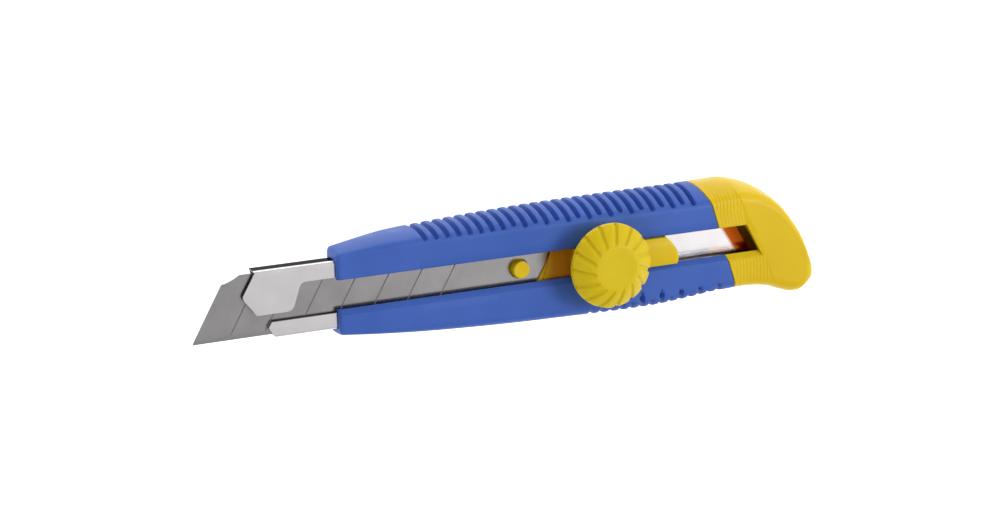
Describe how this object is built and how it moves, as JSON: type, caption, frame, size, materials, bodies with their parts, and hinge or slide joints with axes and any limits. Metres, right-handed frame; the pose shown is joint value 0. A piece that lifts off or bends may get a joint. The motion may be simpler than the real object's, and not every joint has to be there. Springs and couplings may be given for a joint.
{
  "type": "snap-off utility knife",
  "caption": "Snap-off utility knife with a moulded grip, a steel blade channel, a sliding blade carrier locked by a fluted wheel, and a ribbed end cap.",
  "frame": {"origin": "on the flat back, under the centre line of the slot, about midway along the knife", "axes": "+X from the blade's tip to the end cap, +Y from the cutting edge to the spine, +Z from the flat back to the lock wheel"},
  "size_m": [0.1944, 0.0369, 0.0273],
  "materials": {
    "blue_plastic": "moulded, satin, fine mould texture",
    "yellow_plastic": "moulded, satin to slightly glossy",
    "bright_steel": "bright rolled and bent sheet",
    "ground_steel": "matte ground blade strip with scored segment lines",
    "plated_steel": "zinc plated",
    "spring_steel": "hardened spring strip"
  },
  "bodies": {
    "handle": {"handle_body": "blue_plastic", "blade_channel": "bright_steel"},
    "cap": {"end_cap": "yellow_plastic"},
    "carrier": {"blade_carrier": "yellow_plastic", "blade": "ground_steel", "clamp_bolt": "plated_steel"},
    "washers": {"thrust_washer": "plated_steel", "spring_washer": "spring_steel"},
    "wheel": {"lock_wheel": "yellow_plastic", "wheel_nut": "plated_steel"}
  },
  "joints": [
    {"name": "carrier_slide", "type": "slide", "parent": "handle", "child": "carrier", "axis": [1, 0, 0], "range_m": [-0.062, 0.0265]},
    {"name": "wheel_rise", "type": "slide", "parent": "carrier", "child": "washers", "axis": [0, 0, 1], "range_m": [0, 0.0008]},
    {"name": "wheel_turn", "type": "hinge", "parent": "washers", "child": "wheel", "pos_m": [0.0116, 0, 0], "axis": [0, 0, 1], "range_deg": [0, 360]},
    {"name": "cap_pull", "type": "slide", "parent": "handle", "child": "cap", "axis": [1, 0, 0], "range_m": [0, 0.03]}
  ],
  "couplings": [
    {"joint": "wheel_turn", "follows": "wheel_rise", "rad_per_m": 7854}
  ]
}
